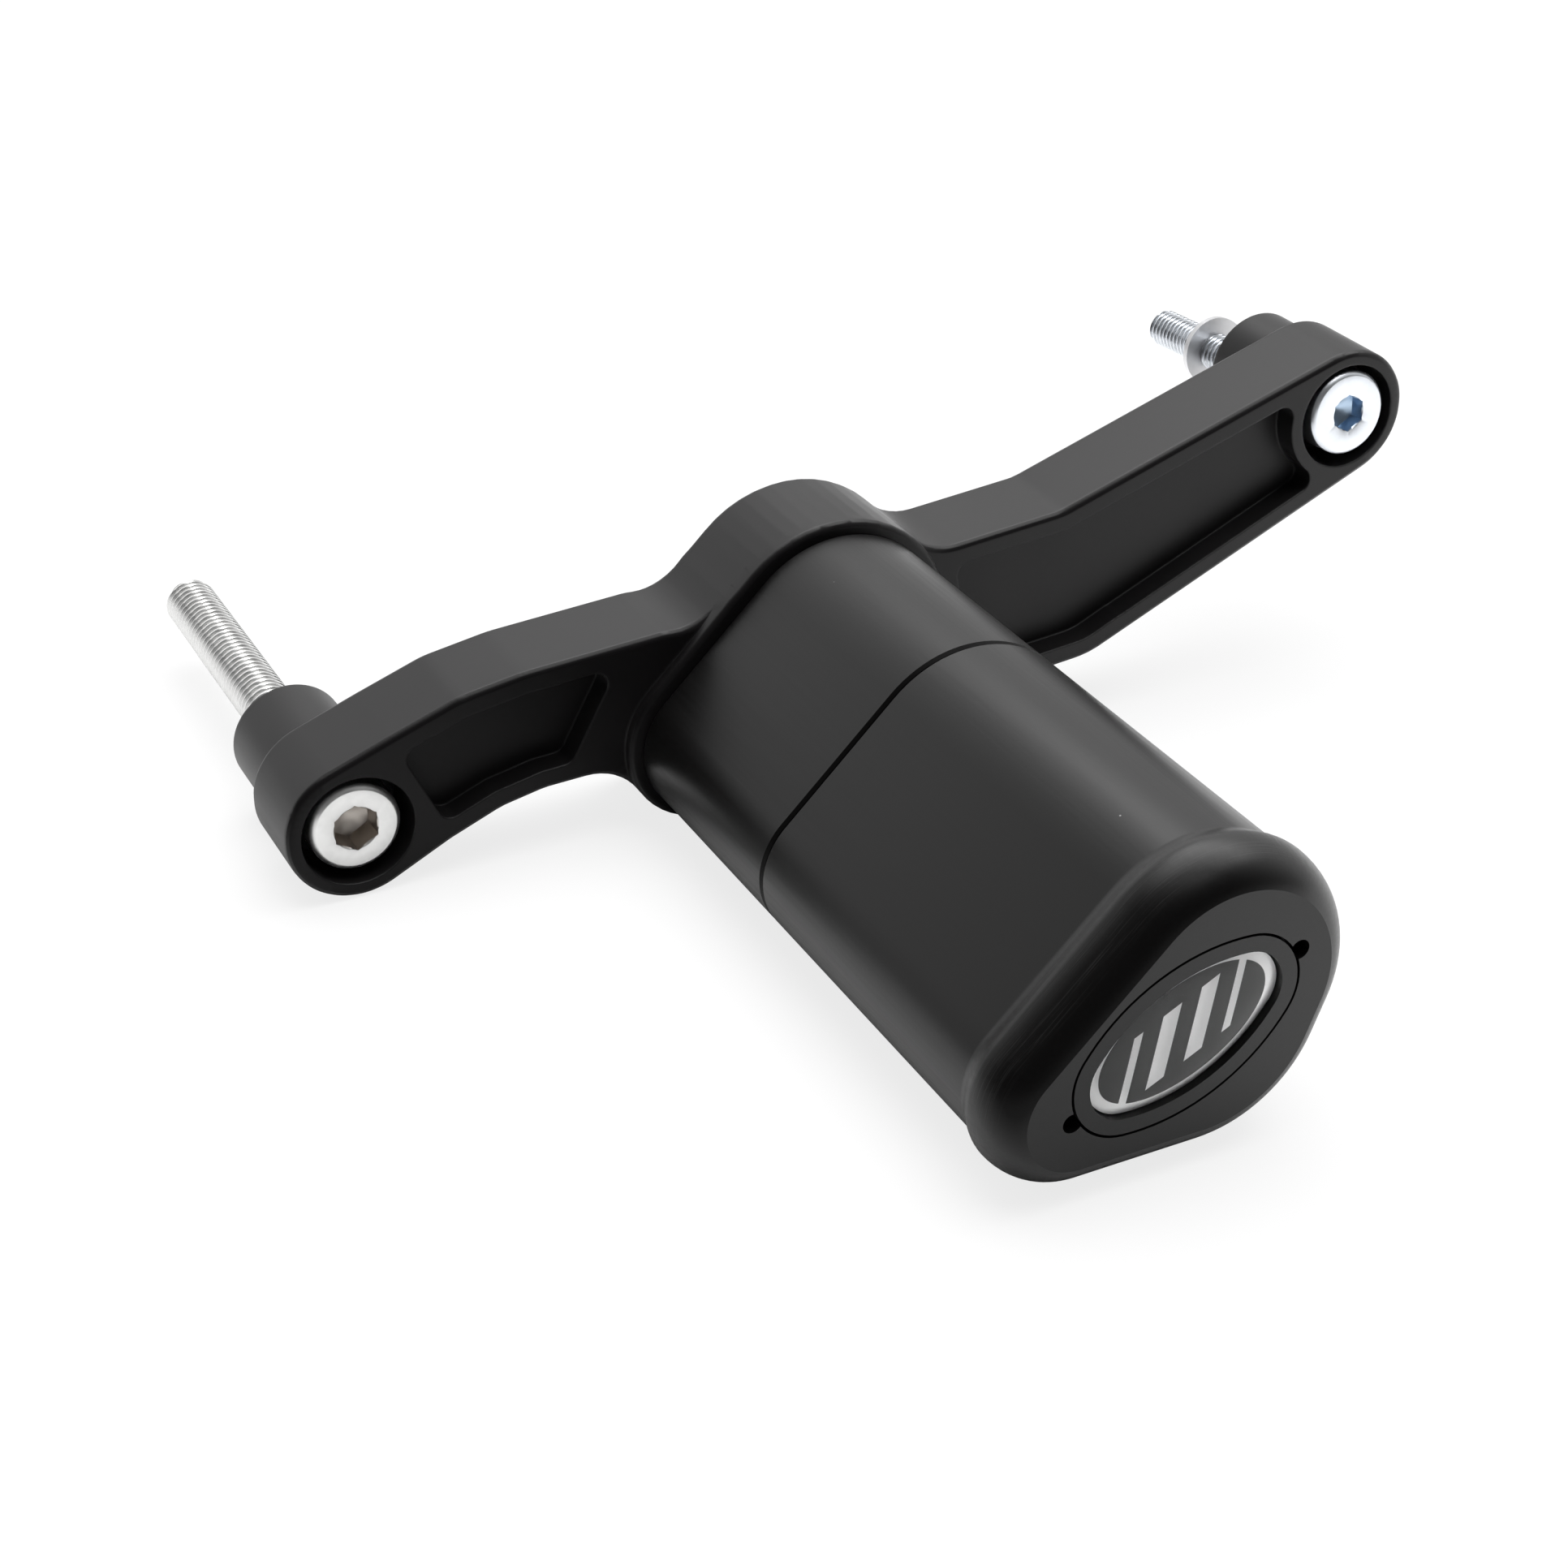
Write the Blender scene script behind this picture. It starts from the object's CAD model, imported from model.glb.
"""Looks of a motorcycle frame slider: finishes, bolts with threads, badge, floor, lights and camera."""

import math

import bpy
import numpy as np
from mathutils import Matrix, Vector


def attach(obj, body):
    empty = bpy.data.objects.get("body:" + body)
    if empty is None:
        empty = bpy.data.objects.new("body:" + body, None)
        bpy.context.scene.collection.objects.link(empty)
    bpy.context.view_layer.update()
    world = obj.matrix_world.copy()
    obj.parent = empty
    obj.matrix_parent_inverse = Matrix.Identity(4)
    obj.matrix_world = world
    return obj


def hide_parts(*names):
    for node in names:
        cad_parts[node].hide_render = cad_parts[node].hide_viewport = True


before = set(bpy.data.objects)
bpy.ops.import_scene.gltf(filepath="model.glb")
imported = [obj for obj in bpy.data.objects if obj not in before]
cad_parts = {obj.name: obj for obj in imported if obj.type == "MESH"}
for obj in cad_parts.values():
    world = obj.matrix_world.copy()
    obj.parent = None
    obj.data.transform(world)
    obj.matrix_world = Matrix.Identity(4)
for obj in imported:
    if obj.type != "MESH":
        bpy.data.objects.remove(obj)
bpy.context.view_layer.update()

bl_info = {
    "name": "Frame slider looks",
    "version": (1, 0, 0),
    "blender": (4, 5, 0),
    "location": "View3D > Sidebar > Frame slider",
    "description": "Builds the finishes, fasteners, badge and stage of a motorcycle frame slider",
    "category": "Object",
}

MM = 0.001
BODY = "root"
# From the bracket's own axes (front bolt at x 0, arms' front at y 0) to the shared frame, in mm
SHIFT = np.array([-79.5, 11.0, 0.0])

# Rings of a bolt's surface that lie inside its hexagon socket
SOCKET_RINGS = 6
# Rows of points for each turn of a thread, and the thread's depth for each mm of pitch
THREAD_ROWS = 9
THREAD_DEPTH = 0.54

# Where the slider's lip starts to roll, and where its end face starts, along y in metres
LIP_START = (-0.0793, -0.0815)
LIP_END = (-0.0882, -0.0872)

# The badge's oval (half length, half width, end radius), then its place (x, z) in mm and its turn in degrees
BADGE_OVAL = (13.5, 7.6, 5.3)
BADGE_PLACE = (65.0, 19.3, 26.5)

# The camera's own axes, solved from the photograph's perspective
CAMERA_RIGHT = (0.89338, -0.44931, -0.00104)
CAMERA_AHEAD = (0.38873, 0.77408, -0.4997)
# The side of the room that is bright
BRIGHT_SIDE = (0.36, 0.62, 0.55)


# Mesh helpers


def closed_ring_faces(rows, columns):
    """Quads between neighbouring rings of points, and one face that closes each end."""
    row, column = np.meshgrid(np.arange(rows - 1), np.arange(columns), indexing="ij")
    here, beyond = row.ravel() * columns, (row.ravel() + 1) * columns
    column = column.ravel()
    after = (column + 1) % columns
    quads = np.stack([here + column, beyond + column, beyond + after, here + after], axis=1)
    first = list(range(columns))
    last = [(rows - 1) * columns + k for k in reversed(range(columns))]
    return quads.tolist() + [first, last]


def new_piece(name, points, faces, material, split_degrees):
    """Makes a mesh piece from points in mm, with its finish, its crisp edges and its ride on the body."""
    mesh = bpy.data.meshes.new(name)
    mesh.from_pydata(((points + SHIFT) * MM).reshape(-1, 3).tolist(), [], faces)
    mesh.update()
    mesh.shade_smooth()
    piece = bpy.data.objects.new(name, mesh)
    bpy.context.scene.collection.objects.link(piece)
    piece.data.materials.append(material)
    split = piece.modifiers.new("edges", "EDGE_SPLIT")
    split.split_angle = math.radians(split_degrees)
    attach(piece, BODY)
    return piece


def dress(nodes, material, split_degrees=28):
    """Gives CAD nodes their finish, rounds their shading across shallow edges and keeps flat faces flat."""
    for name in nodes:
        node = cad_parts[name]
        node.data.materials.clear()
        node.data.materials.append(material)
        node.data.shade_smooth()
        weld = node.modifiers.new("weld", "WELD")
        weld.merge_threshold = 0.000004
        split = node.modifiers.new("edges", "EDGE_SPLIT")
        split.split_angle = math.radians(split_degrees)
        split.use_edge_sharp = False
        flat = node.modifiers.new("flat faces", "WEIGHTED_NORMAL")
        flat.weight = 100


# Material helpers


class Shader:
    """Builds one node material: nodes by type, links by name."""

    def __init__(self, name):
        self.material = bpy.data.materials.new(name)
        self.material.use_nodes = True
        self.tree = self.material.node_tree
        self.tree.nodes.clear()
        self.out = self.tree.nodes.new("ShaderNodeOutputMaterial")
        self.bsdf = self.tree.nodes.new("ShaderNodeBsdfPrincipled")
        self.tree.links.new(self.bsdf.outputs["BSDF"], self.out.inputs["Surface"])

    def node(self, kind, **settings):
        made = self.tree.nodes.new(kind)
        for key, value in settings.items():
            if key in made.inputs:
                made.inputs[key].default_value = value
            else:
                setattr(made, key, value)
        return made

    def link(self, source, target):
        self.tree.links.new(source, target)

    def coords(self, scale=(1, 1, 1)):
        """Object coordinates, stretched by scale."""
        texco = self.node("ShaderNodeTexCoord")
        mapping = self.node("ShaderNodeMapping", Scale=scale)
        self.link(texco.outputs["Object"], mapping.inputs["Vector"])
        return mapping.outputs["Vector"]

    def axes(self, vector):
        """A vector's x, y and z."""
        made = self.node("ShaderNodeSeparateXYZ")
        self.link(vector, made.inputs[0])
        return made.outputs

    def noise(self, vector, scale, detail=3.0, rough=0.5):
        made = self.node("ShaderNodeTexNoise", Scale=scale, Detail=detail, Roughness=rough)
        self.link(vector, made.inputs["Vector"])
        return made.outputs["Fac"]

    def ramp(self, fac, low, high, out_low, out_high):
        """Maps fac from low..high to out_low..out_high, clamped."""
        made = self.node("ShaderNodeMapRange")
        for key, value in (("From Min", low), ("From Max", high), ("To Min", out_low), ("To Max", out_high)):
            made.inputs[key].default_value = value
        self.link(fac, made.inputs["Value"])
        return made.outputs["Result"]

    def mix_colour(self, fac, a, b):
        made = self.node("ShaderNodeMix", data_type="RGBA")
        for socket, value in ((made.inputs[6], a), (made.inputs[7], b)):
            if isinstance(value, tuple):
                socket.default_value = value
            else:
                self.link(value, socket)
        self.link(fac, made.inputs[0])
        return made.outputs[2]

    def mix_shader(self, fac, a, b):
        """Blends two surfaces; fac is a number or a socket."""
        made = self.node("ShaderNodeMixShader")
        if isinstance(fac, (int, float)):
            made.inputs[0].default_value = fac
        else:
            self.link(fac, made.inputs[0])
        self.link(a.outputs[0], made.inputs[1])
        self.link(b.outputs[0], made.inputs[2])
        return made

    def clouded(self, cloud, colour, dark, bright, low=0.35, high=0.65):
        """The colour from dark to bright times itself, as the cloud goes from low to high."""
        ends = [tuple(c * share for c in colour) + (1.0,) for share in (dark, bright)]
        return self.mix_colour(self.ramp(cloud, low, high, 0, 1), *ends)

    def math(self, operation, a, b=None):
        made = self.node("ShaderNodeMath", operation=operation)
        for socket, value in zip(made.inputs, (a, b)):
            if isinstance(value, (int, float)):
                socket.default_value = value
            elif value is not None:
                self.link(value, socket)
        return made.outputs[0]

    def grazing_gloss(self, straight, grazing):
        """Specular level from straight at a facing view to grazing at a slanting one."""
        layer = self.node("ShaderNodeLayerWeight", Blend=0.5)
        self.link(self.ramp(layer.outputs["Facing"], 0.12, 0.42, straight, grazing),
                  self.bsdf.inputs["Specular IOR Level"])

    def dust(self, scale=150.0, radius=0.022):
        """Rare tiny round specks: near a cell's own point, in one cell out of five."""
        cells = self.node("ShaderNodeTexVoronoi", Scale=scale)
        self.link(self.coords(), cells.inputs["Vector"])
        pick = self.node("ShaderNodeSeparateColor")
        self.link(cells.outputs["Color"], pick.inputs[0])
        near = self.ramp(cells.outputs["Distance"], radius, radius * 0.6, 0, 1)
        return self.math("MULTIPLY", near, self.ramp(pick.outputs[0], 0.80, 0.81, 0, 1))

    def bump(self, height, distance, strength=1.0, below=None):
        """Relief from height, over the normal below where one is given; distance in metres."""
        made = self.node("ShaderNodeBump", Distance=distance, Strength=strength)
        self.link(height, made.inputs["Height"])
        if below is not None:
            self.link(below, made.inputs["Normal"])
        self.link(made.outputs["Normal"], self.bsdf.inputs["Normal"])


# Finishes


def anodised_finish(name, colour, roughness, soft=0.5 * MM):
    """Bead-blasted and anodised aluminium: even black with a fine grain, edges softened by soft metres."""
    s = Shader(name)
    cloud = s.noise(s.coords(), 60.0)
    grain = s.noise(s.coords(), 3800.0, 2.0)
    s.link(s.clouded(cloud, colour, 0.85, 1.2), s.bsdf.inputs["Base Color"])
    s.link(s.ramp(cloud, 0.3, 0.7, roughness - 0.03, roughness + 0.04), s.bsdf.inputs["Roughness"])
    round_edge = s.node("ShaderNodeBevel", samples=6, Radius=soft)
    s.bump(grain, 0.000015, 0.4, round_edge.outputs["Normal"])
    s.grazing_gloss(0.10, 0.44)
    return s.material


def slider_finish(name, colour, roughness):
    """Machined plastic: satin black, faint lengthwise tool lines, fine streaks round the lip, rare dust."""
    s = Shader(name)
    cloud = s.noise(s.coords(), 35.0, 4.0)
    lines = s.noise(s.coords(scale=(1.0, 0.02, 1.0)), 2200.0, 3.0, 0.6)
    grain = s.noise(s.coords(), 2600.0, 2.0)
    base = s.clouded(cloud, colour, 0.85, 1.2, 0.2, 0.8)
    height = s.math("ADD", s.math("MULTIPLY", lines, 0.6), s.math("MULTIPLY", grain, 0.7))

    rings = s.noise(s.coords(scale=(0.012, 1.0, 0.012)), 7000.0, 4.0, 0.7)
    y = s.axes(s.coords())[1]
    on_roll = s.math("MULTIPLY", s.ramp(y, *LIP_START, 0, 1), s.ramp(y, *LIP_END, 0, 1))
    streak = s.math("MULTIPLY", on_roll, s.ramp(rings, 0.52, 0.75, 0, 1))
    base = s.mix_colour(s.math("MULTIPLY", streak, 0.2), base, (0.10, 0.10, 0.10, 1.0))
    height = s.math("ADD", height, s.math("MULTIPLY", s.math("MULTIPLY", on_roll, rings), 1.3))

    specks = s.math("MULTIPLY", s.dust(), 0.5)
    s.link(s.mix_colour(specks, base, (0.5, 0.5, 0.5, 1.0)), s.bsdf.inputs["Base Color"])
    s.link(s.ramp(lines, 0.3, 0.7, roughness - 0.03, roughness + 0.04), s.bsdf.inputs["Roughness"])
    s.bump(height, 0.000014, 0.45)
    s.grazing_gloss(0.11, 0.46)
    return s.material


def metal_finish(name, colour, roughness, socket=None):
    """Bright fastener metal with a very fine grain and faint clouding; socket is the colour inside a hexagon."""
    s = Shader(name)
    grain = s.noise(s.coords(), 5000.0, 2.0)
    cloud = s.noise(s.coords(), 450.0)
    base = s.clouded(cloud, colour, 0.9, 1.0)
    if socket:
        inner = s.node("ShaderNodeAttribute", attribute_name="inner")
        base = s.mix_colour(inner.outputs["Fac"], base, socket + (1.0,))
    s.link(base, s.bsdf.inputs["Base Color"])
    s.link(s.ramp(cloud, 0.3, 0.7, roughness - 0.03, roughness + 0.05), s.bsdf.inputs["Roughness"])
    s.bump(grain, 0.000005, 0.3)
    s.bsdf.inputs["Metallic"].default_value = 1.0
    return s.material


def badge_finish(name):
    """Printed badge: silver border and slanted silver bars on a dark field, from the piece's own map.

    The map's u and v run from -1 to 1 along and across the oval. The border is where the distance from the
    middle passes 0.89; the bars are a repeating wave of u - 0.42 v, cut off above, below and at both ends.
    """
    s = Shader(name)
    along, across, _ = s.axes(s.node("ShaderNodeUVMap", uv_map="badge").outputs["UV"])
    squares = [s.math("POWER", s.math("ABSOLUTE", side), 2.0) for side in (along, across)]
    border = s.ramp(s.math("SQRT", s.math("ADD", *squares)), 0.885, 0.89, 0, 1)
    slant = s.math("ADD", along, s.math("MULTIPLY", across, -0.42))
    wave = s.math("ABSOLUTE", s.math("SUBTRACT", s.math("FRACT", s.math("MULTIPLY", slant, 2.4)), 0.5))
    bars = s.ramp(wave, 0.235, 0.245, 1, 0)
    inside = s.ramp(s.math("ABSOLUTE", across), 0.52, 0.53, 1, 0)
    ends = s.ramp(s.math("ABSOLUTE", slant), 0.62, 0.625, 1, 0)
    silver = s.math("MAXIMUM", border, s.math("MULTIPLY", s.math("MULTIPLY", bars, inside), ends))
    s.link(s.mix_colour(silver, (0.016, 0.016, 0.016, 1.0), (0.97, 0.97, 0.97, 1.0)), s.bsdf.inputs["Base Color"])
    s.link(silver, s.bsdf.inputs["Metallic"])
    s.bsdf.inputs["Roughness"].default_value = 0.5
    return s.material


def resin_finish(name):
    """Clear cast resin over the badge: lets the print through and mirrors the room by its angle."""
    s = Shader(name)
    s.tree.nodes.remove(s.bsdf)
    clear = s.node("ShaderNodeBsdfTransparent")
    shine = s.node("ShaderNodeBsdfGlossy", Roughness=0.03)
    angle = s.node("ShaderNodeFresnel", IOR=1.45)
    s.link(s.mix_shader(angle.outputs[0], clear, shine).outputs[0], s.out.inputs["Surface"])
    return s.material


# New surfaces


def hexagon_radius(angle, across):
    """Distance from the middle to a hexagon's side: half its width over the cosine of the angle from that side."""
    sector = np.pi / 3
    return across / 2 / np.cos((angle + sector / 2) % sector - sector / 2)


def thread_profile(phase):
    """Height of a thread from 0 at its root to 1 at its crest: a ramp up and down with short flats."""
    return np.clip(1.5 - 4.0 * np.abs((phase % 1.0) - 0.5), 0.0, 1.0) ** 0.9


def bolt_surface(b):
    """A socket bolt along +Y about the y axis, its head's face at y 0, as a closed grid of rings, in mm.

    Each ring gives a radius at every angle: hexagon_radius inside the socket, round outside. The thread's
    radius is its root plus its depth times thread_profile(y / pitch - angle / full turn), so it winds as a helix.
    """
    turns = np.linspace(0, 2 * np.pi, b["columns"], endpoint=False)
    six = hexagon_radius(turns, b["hex"])
    flat = np.ones_like(turns)
    head, depth = b["head"] / 2, b["socket"]
    edge = b["chamfer"]
    lead = np.maximum(six, b["hex"] / 2 * 1.07)
    rings = [
        # Drilled cone at the socket's bottom
        (0.02 * flat, depth + 0.9), (b["hex"] * 0.27 * flat, depth + 0.45), (b["hex"] * 0.485 * flat, depth),
        # The hexagon's walls and its lead-in
        (six, depth - 0.05), (six, 0.62), (six, 0.26), (lead * 1.005, 0.03), (lead + 0.08, 0.0),
        # The head's face, rounded edge and side
        ((head - edge) * 0.8 * flat, 0.0), ((head - edge) * 0.985 * flat, 0.0),
        ((head - edge * 0.9) * flat, edge * 0.06), ((head - edge * 0.12) * flat, edge * 0.8),
        (head * flat, edge), (head * flat, b["height"] - 0.3), ((head - 0.25) * flat, b["height"]),
        # Under the head, and the plain part of the shank
        ((b["d"] / 2 + 0.4) * flat, b["height"]), (b["d"] / 2 * flat, b["height"] + 0.35)]
    start, end = b["height"] + b["plain"], b["height"] + b["len"]
    rings.append((b["d"] / 2 * flat, start - 0.4))

    outer, cut = b["crest"] / 2, THREAD_DEPTH * b["pitch"]
    y, a = np.meshgrid(np.arange(start, end, b["pitch"] / THREAD_ROWS), turns, indexing="ij")
    crest = outer - cut * (1 - thread_profile(y / b["pitch"] - a / (2 * np.pi)))
    taper = outer - np.clip(y - (end - 1.1 * b["pitch"]), 0, None) * 0.95
    run_in = outer - cut * np.clip((y - start) / b["pitch"], 0, 1)
    radius = np.minimum(np.maximum(crest, run_in), taper)

    last = radius[-1].min() * 0.97
    r = np.concatenate([[ring[0] for ring in rings], radius, [last * flat, last * 0.5 * flat, 0.02 * flat]])
    depths = np.concatenate([[ring[1] * flat for ring in rings], y, [end * flat] * 3])
    points = np.stack([r * np.cos(turns), depths, r * np.sin(turns)], axis=-1)
    return points, closed_ring_faces(*r.shape)


def make_bolt(name, b, material, node):
    """Puts a bolt_surface in place, turned by its droop about x through the pivot, and stands it for a CAD node."""
    points, faces = bolt_surface(b)
    points = points + np.array([b["x"], b["face"], b["z"]])
    lean = -math.radians(b["droop"])
    dy, dz = points[..., 1] - b["pivot"], points[..., 2] - b["z"]
    turned = np.stack([points[..., 0], b["pivot"] + dy * math.cos(lean) - dz * math.sin(lean),
                       b["z"] + dy * math.sin(lean) + dz * math.cos(lean)], axis=-1)
    piece = new_piece(name, turned, faces, material, 32)
    inner = np.zeros(points.shape[:2], dtype=np.float32)
    inner[:SOCKET_RINGS] = 1.0
    piece.data.attributes.new("inner", "FLOAT", "POINT").data.foreach_set("value", inner.ravel())
    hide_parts(node)


def oval_radius(angle, a, b, r):
    """Distance to a pointed-round oval: ends of radius r at half length a, joined by wide arcs at half width b.

    The side arcs' radius is ((a-r)^2 + b^2 - r^2) / (2 (b - r)); each ray takes the arc that it meets.
    """
    side = ((a - r) ** 2 + b * b - r * r) / (2 * (b - r))
    reach = (a - r) * side / (side - r)
    c, s = np.abs(np.cos(angle)), np.abs(np.sin(angle))
    drop = side - b
    by_side = -s * drop + np.sqrt(np.maximum(s * s * drop * drop - drop * drop + side * side, 0))
    by_end = c * (a - r) + np.sqrt(np.maximum(c * c * (a - r) ** 2 - (a - r) ** 2 + r * r, 0))
    return np.where(by_side * c < reach, by_side, by_end)


def oval_disc(shape, place, y0, rise, rows=22, columns=144):
    """A closed low dome over an oval: height is rise times (1 - u^4) at share u of the way out, base at y0."""
    a, b, r = shape
    turns = np.linspace(0, 2 * np.pi, columns, endpoint=False)
    edge = oval_radius(turns, a, b, r)
    u = np.sin(np.linspace(0.01, 1, rows) * np.pi / 2)
    lift = rise * (1 - u ** 4)
    along = u[:, None] * edge * np.cos(turns)
    across = u[:, None] * edge * np.sin(turns)
    depth = np.broadcast_to((y0 - lift)[:, None], along.shape)
    along = np.concatenate([along, along[-1:]])
    across = np.concatenate([across, across[-1:]])
    depth = np.concatenate([depth, np.full((1, columns), y0 + 0.35)])
    turn = math.radians(place[2])
    x = place[0] + along * math.cos(turn) - across * math.sin(turn)
    z = place[1] + along * math.sin(turn) + across * math.cos(turn)
    points = np.stack([x, depth, z], axis=-1)
    return points, closed_ring_faces(rows + 1, columns), np.stack([along / a, across / b], axis=-1)


# Stage


def make_floor():
    """A wide white floor. The camera sees it softly lit; what it throws on the object fades to the left."""
    half = 6.0
    mesh = bpy.data.meshes.new("floor")
    mesh.from_pydata([(-half, -half, 0), (half, -half, 0), (half, half, 0), (-half, half, 0)], [], [(0, 1, 2, 3)])
    floor = bpy.data.objects.new("floor", mesh)
    bpy.context.scene.collection.objects.link(floor)
    s = Shader("white floor")
    s.bsdf.inputs["Base Color"].default_value = (0.72, 0.72, 0.72, 1.0)
    s.bsdf.inputs["Roughness"].default_value = 0.8
    s.bsdf.inputs["Specular IOR Level"].default_value = 0.0
    glow = s.node("ShaderNodeEmission", Strength=1.02)
    away = s.node("ShaderNodeVectorMath", operation="LENGTH")
    s.link(s.coords(), away.inputs[0])
    seen = s.mix_shader(s.ramp(away.outputs["Value"], 0.4, 1.2, 0.78, 1.0), s.bsdf, glow)
    dull = s.node("ShaderNodeBsdfDiffuse")
    x, y, _ = s.axes(s.coords())
    share = s.ramp(s.math("ADD", x, s.math("MULTIPLY", y, -0.15)), -0.02, 0.05, 0, 1)
    s.link(s.mix_colour(share, (0.66, 0.66, 0.66, 1.0), (0.90, 0.90, 0.90, 1.0)), dull.inputs["Color"])
    path = s.node("ShaderNodeLightPath")
    s.link(s.mix_shader(path.outputs["Is Camera Ray"], dull, seen).outputs[0], s.out.inputs["Surface"])
    mesh.materials.append(s.material)
    floor.location = (0, 0, -0.0001)


def make_world(scene):
    """White for the camera. For all else bright above, behind and to the right, and dark on the near left."""
    world = bpy.data.worlds.new("studio")
    world.use_nodes = True
    tree = world.node_tree
    tree.nodes.clear()
    out = tree.nodes.new("ShaderNodeOutputWorld")
    light = tree.nodes.new("ShaderNodeBackground")
    white = tree.nodes.new("ShaderNodeBackground")
    mix = tree.nodes.new("ShaderNodeMixShader")
    path = tree.nodes.new("ShaderNodeLightPath")
    place = tree.nodes.new("ShaderNodeTexCoord")
    towards = tree.nodes.new("ShaderNodeVectorMath")
    towards.operation = "DOT_PRODUCT"
    towards.inputs[1].default_value = Vector(BRIGHT_SIDE).normalized()
    share = tree.nodes.new("ShaderNodeMapRange")
    share.interpolation_type = "SMOOTHSTEP"
    for key, value in (("From Min", -0.2), ("From Max", 0.65), ("To Min", 0.10), ("To Max", 0.92)):
        share.inputs[key].default_value = value
    tree.links.new(place.outputs["Generated"], towards.inputs[0])
    tree.links.new(towards.outputs["Value"], share.inputs["Value"])
    tree.links.new(share.outputs["Result"], light.inputs["Strength"])
    white.inputs["Strength"].default_value = 1.0
    tree.links.new(path.outputs["Is Camera Ray"], mix.inputs[0])
    tree.links.new(light.outputs[0], mix.inputs[1])
    tree.links.new(white.outputs[0], mix.inputs[2])
    tree.links.new(mix.outputs[0], out.inputs["Surface"])
    for node in (light, white):
        node.inputs["Color"].default_value = (1, 1, 1, 1)
    scene.world = world


def make_soft_box(place, target, size, power):
    """One large rectangular lamp at place that faces target."""
    data = bpy.data.lights.new("overhead", "AREA")
    data.shape = "RECTANGLE"
    data.size, data.size_y = size
    data.energy = power
    lamp = bpy.data.objects.new("overhead", data)
    lamp.location = place
    lamp.rotation_euler = (Vector(target) - Vector(place)).to_track_quat("-Z", "Y").to_euler()
    bpy.context.scene.collection.objects.link(lamp)


def make_camera(scene, place, lens):
    """The camera at the photograph's viewing angle, from its three axes."""
    data = bpy.data.cameras.new("camera")
    data.sensor_width = 36.0
    data.lens = lens
    camera = bpy.data.objects.new("camera", data)
    right = Vector(CAMERA_RIGHT).normalized()
    ahead = Vector(CAMERA_AHEAD).normalized()
    up = right.cross(ahead).normalized()
    turn = Matrix((right, up, -ahead)).transposed()
    camera.matrix_world = Matrix.Translation(Vector(place)) @ turn.to_4x4()
    scene.collection.objects.link(camera)
    scene.camera = camera


# Settings shown in the panel


class FinishSettings(bpy.types.PropertyGroup):
    """Colours and roughness of the main finishes."""

    bracket_colour: bpy.props.FloatVectorProperty(
        name="Bracket colour", description="Anodised colour of the bracket", subtype="COLOR", size=3,
        default=(0.0042, 0.0037, 0.004), min=0, max=1)
    bracket_roughness: bpy.props.FloatProperty(
        name="Bracket roughness", description="Gloss of the anodised bracket", subtype="FACTOR",
        default=0.42, min=0.1, max=1)
    slider_colour: bpy.props.FloatVectorProperty(
        name="Slider colour", description="Colour of the plastic slider", subtype="COLOR", size=3,
        default=(0.0022, 0.0020, 0.0020), min=0, max=1)
    slider_roughness: bpy.props.FloatProperty(
        name="Slider roughness", description="Gloss of the plastic slider", subtype="FACTOR",
        default=0.36, min=0.1, max=1)


class BoltSettings(bpy.types.PropertyGroup):
    """Lengths and lean of the two mounting bolts."""

    front_length: bpy.props.FloatProperty(
        name="Front bolt", description="Front bolt's length under its head, in mm", default=70, min=60, max=80)
    rear_length: bpy.props.FloatProperty(
        name="Rear bolt", description="Rear bolt's length under its head, in mm", default=46, min=40, max=50)
    rear_droop: bpy.props.FloatProperty(
        name="Rear droop", description="How far the loose rear bolt hangs, in degrees", default=4, min=0, max=4)


class StageSettings(bpy.types.PropertyGroup):
    """Camera and lamp."""

    camera_place: bpy.props.FloatVectorProperty(
        name="Camera place", description="Where the camera stands", subtype="XYZ", unit="LENGTH", size=3,
        default=(-0.17904, -0.31464, 0.21118))
    lens: bpy.props.FloatProperty(
        name="Lens", description="Focal length in millimetres on a 36 mm wide sensor", default=66.757, min=20, max=200)
    lamp_power: bpy.props.FloatProperty(
        name="Lamp power", description="Power of the soft box overhead", unit="POWER", default=20, min=0, max=200)


# Operators


class SLIDER_OT_finishes(bpy.types.Operator):
    """Gives every CAD node its finish."""

    bl_idname = "frame_slider.finishes"
    bl_label = "Finishes"

    def execute(self, context):
        f = context.scene.slider_finish
        black = anodised_finish("anodised black", tuple(f.bracket_colour), f.bracket_roughness)
        satin = slider_finish("slider plastic", tuple(f.slider_colour), f.slider_roughness)
        plug = slider_finish("plug plastic", tuple(c * 0.7 for c in f.slider_colour), 0.4)
        steel = metal_finish("bright steel", (0.66, 0.66, 0.67), 0.38)
        plated = metal_finish("plated steel", (0.6, 0.6, 0.61), 0.35)
        dress(["bracket", "front_spacer", "rear_spacer"], black)
        dress(["inner_block", "outer_slider"], satin, 10)
        dress(["end_plug"], plug)
        dress(["rear_washer", "rear_ring"], steel)
        dress(["slider_sleeve", "slider_bolt", "slider_washer", "slider_nut", "hub_dowels", "slider_dowels"], plated)
        return {"FINISHED"}


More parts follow.
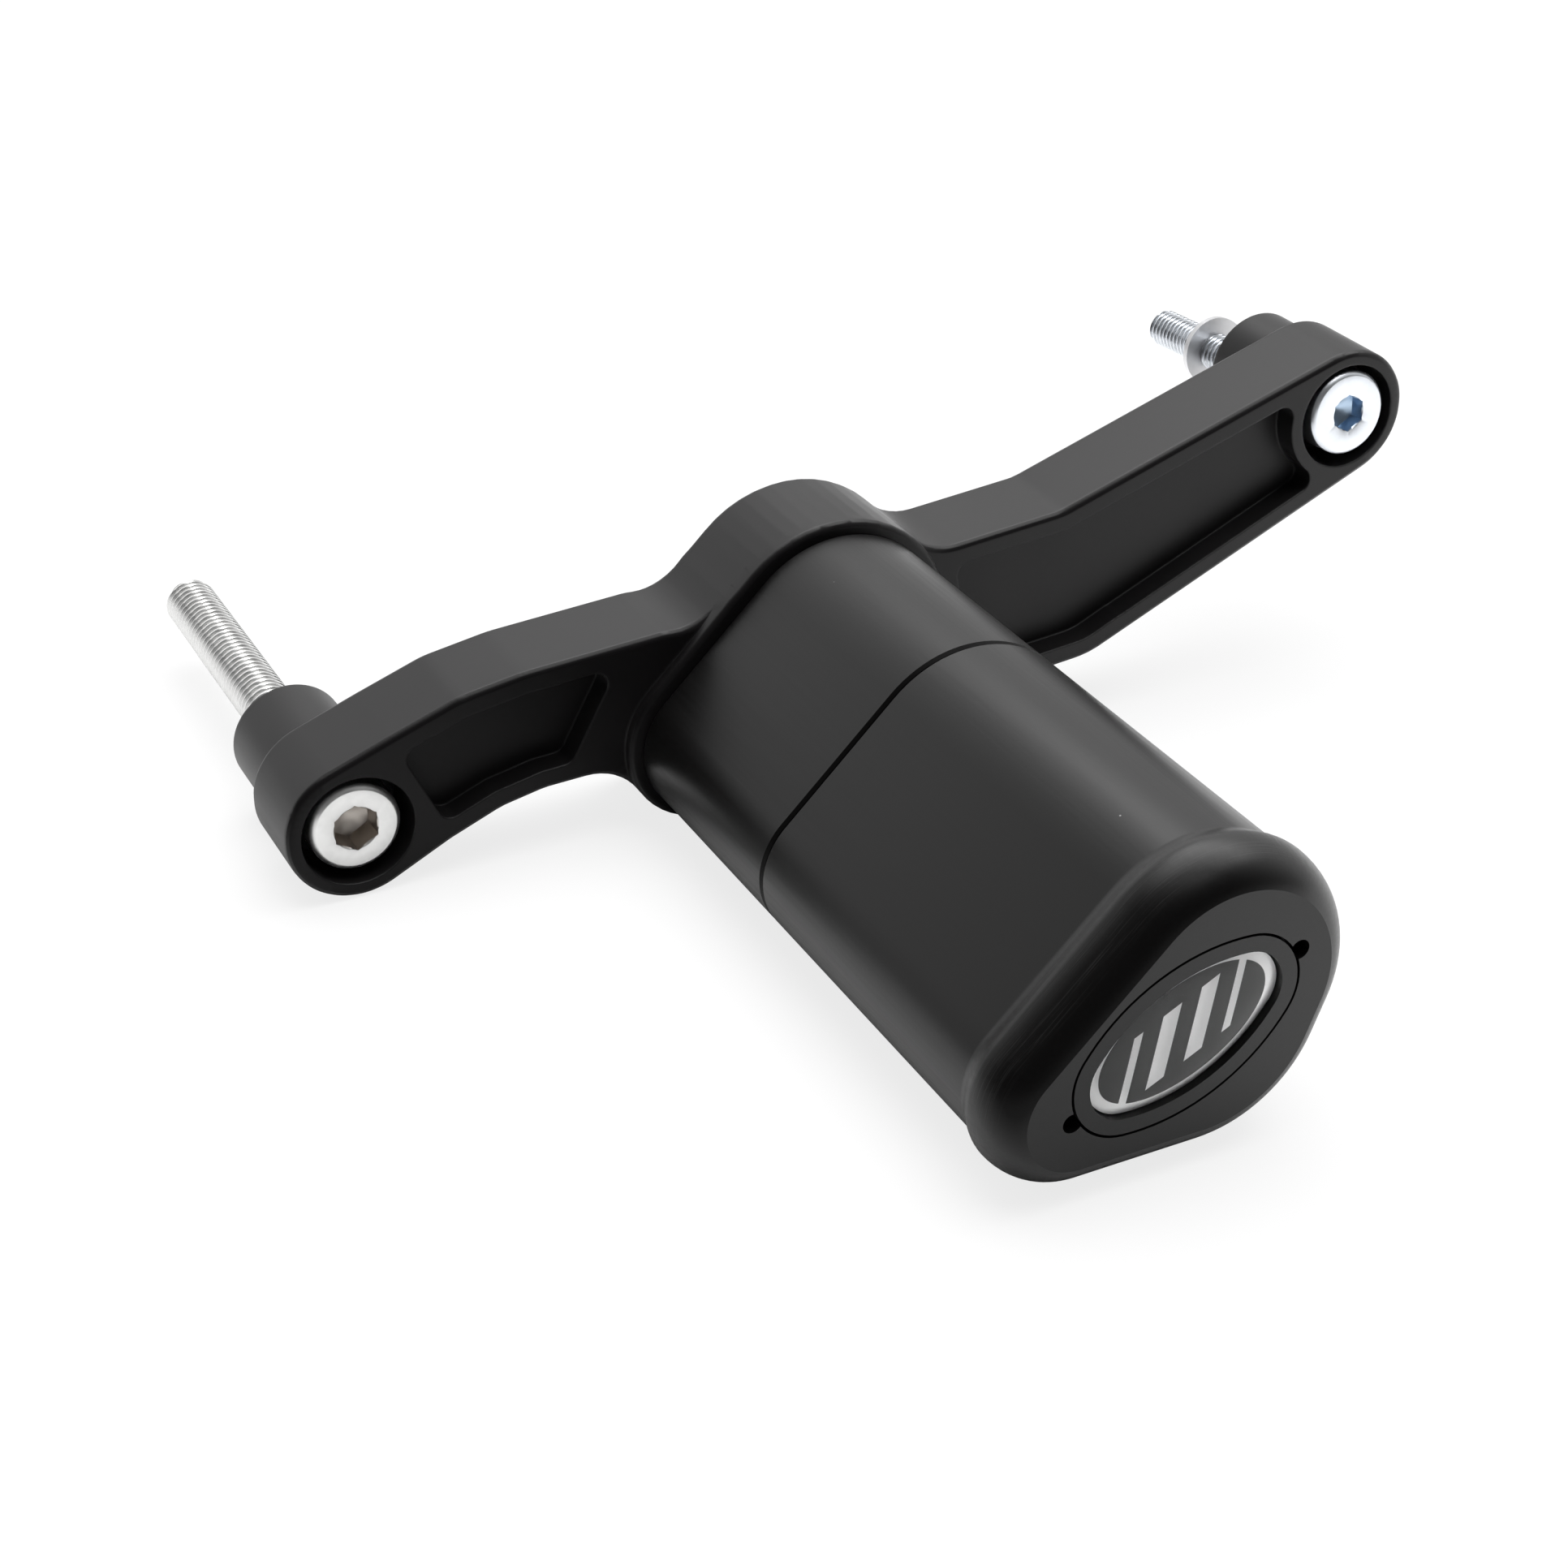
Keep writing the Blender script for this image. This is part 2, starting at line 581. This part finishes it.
class SLIDER_OT_bolts(bpy.types.Operator):
    """Makes the two mounting bolts with their threads and hexagon sockets."""

    bl_idname = "frame_slider.bolts"
    bl_label = "Bolts"

    def execute(self, context):
        b = context.scene.slider_bolts
        steel = metal_finish("bolt steel", (0.86, 0.86, 0.85), 0.36, socket=(0.52, 0.48, 0.44))
        blue = metal_finish("blue zinc", (0.74, 0.77, 0.81), 0.32, socket=(0.42, 0.53, 0.66))
        front = dict(x=0, z=10.2, face=1.0, head=13.0, height=8.0, hex=6.0, socket=4.2, chamfer=0.75, d=8.0,
                     crest=7.8, pitch=1.25, len=b.front_length, plain=20.8, columns=96, droop=0, pivot=15.0)
        rear = dict(x=159, z=40.2, face=-0.3, head=13.0, height=5.0, hex=5.0, socket=2.6, chamfer=0.65, d=6.0,
                    crest=5.9, pitch=1.0, len=b.rear_length, plain=3.0, columns=96, droop=b.rear_droop, pivot=8.0)
        make_bolt("front_bolt_threaded", front, steel, "front_bolt")
        make_bolt("rear_bolt_threaded", rear, blue, "rear_bolt")
        return {"FINISHED"}


class SLIDER_OT_badge(bpy.types.Operator):
    """Makes the printed badge and its clear resin dome."""

    bl_idname = "frame_slider.badge"
    bl_label = "Badge"

    def execute(self, context):
        for name, base, rise, material, slot, node in (
                ("badge_print", -99.95, 0.18, badge_finish("badge print"), "badge_foil", "badge_plate"),
                ("badge_resin", -100.05, 0.75, resin_finish("clear resin"), "clear_resin", "badge_dome")):
            points, faces, flat_map = oval_disc(BADGE_OVAL, BADGE_PLACE, base, rise)
            piece = new_piece(name, points, faces, material, 40)
            layer = piece.data.uv_layers.new(name="badge")
            corner = np.empty(len(piece.data.loops), dtype=np.int32)
            piece.data.loops.foreach_get("vertex_index", corner)
            layer.data.foreach_set("uv", flat_map.reshape(-1, 2)[corner].astype(np.float32).ravel())
            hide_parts(node)
        return {"FINISHED"}


class SLIDER_OT_stage(bpy.types.Operator):
    """Makes the white floor, the soft light and the camera."""

    bl_idname = "frame_slider.stage"
    bl_label = "Stage"

    def execute(self, context):
        s = context.scene.slider_stage
        make_floor()
        make_world(context.scene)
        make_soft_box((0.20, 0.12, 1.1), (0.0, 0.0, 0.0), (1.3, 1.2), s.lamp_power)
        make_camera(context.scene, s.camera_place, s.lens)
        context.scene.view_settings.view_transform = "Standard"
        return {"FINISHED"}


class SLIDER_PT_panel(bpy.types.Panel):
    """Lists the settings and the steps."""

    bl_label = "Frame slider"
    bl_space_type = "VIEW_3D"
    bl_region_type = "UI"
    bl_category = "Frame slider"

    def draw(self, context):
        scene = context.scene
        for group in (scene.slider_finish, scene.slider_bolts, scene.slider_stage):
            for name in group.__annotations__:
                self.layout.prop(group, name)
        for step in STEPS:
            self.layout.operator(step.bl_idname)


STEPS = (SLIDER_OT_finishes, SLIDER_OT_bolts, SLIDER_OT_badge, SLIDER_OT_stage)
CLASSES = (FinishSettings, BoltSettings, StageSettings, *STEPS, SLIDER_PT_panel)


def register():
    for cls in CLASSES:
        bpy.utils.register_class(cls)
    bpy.types.Scene.slider_finish = bpy.props.PointerProperty(type=FinishSettings)
    bpy.types.Scene.slider_bolts = bpy.props.PointerProperty(type=BoltSettings)
    bpy.types.Scene.slider_stage = bpy.props.PointerProperty(type=StageSettings)


def unregister():
    del bpy.types.Scene.slider_stage
    del bpy.types.Scene.slider_bolts
    del bpy.types.Scene.slider_finish
    for cls in reversed(CLASSES):
        bpy.utils.unregister_class(cls)


def main():
    register()
    bpy.ops.frame_slider.finishes()
    bpy.ops.frame_slider.bolts()
    bpy.ops.frame_slider.badge()
    bpy.ops.frame_slider.stage()


if __name__ == "__main__":
    main()
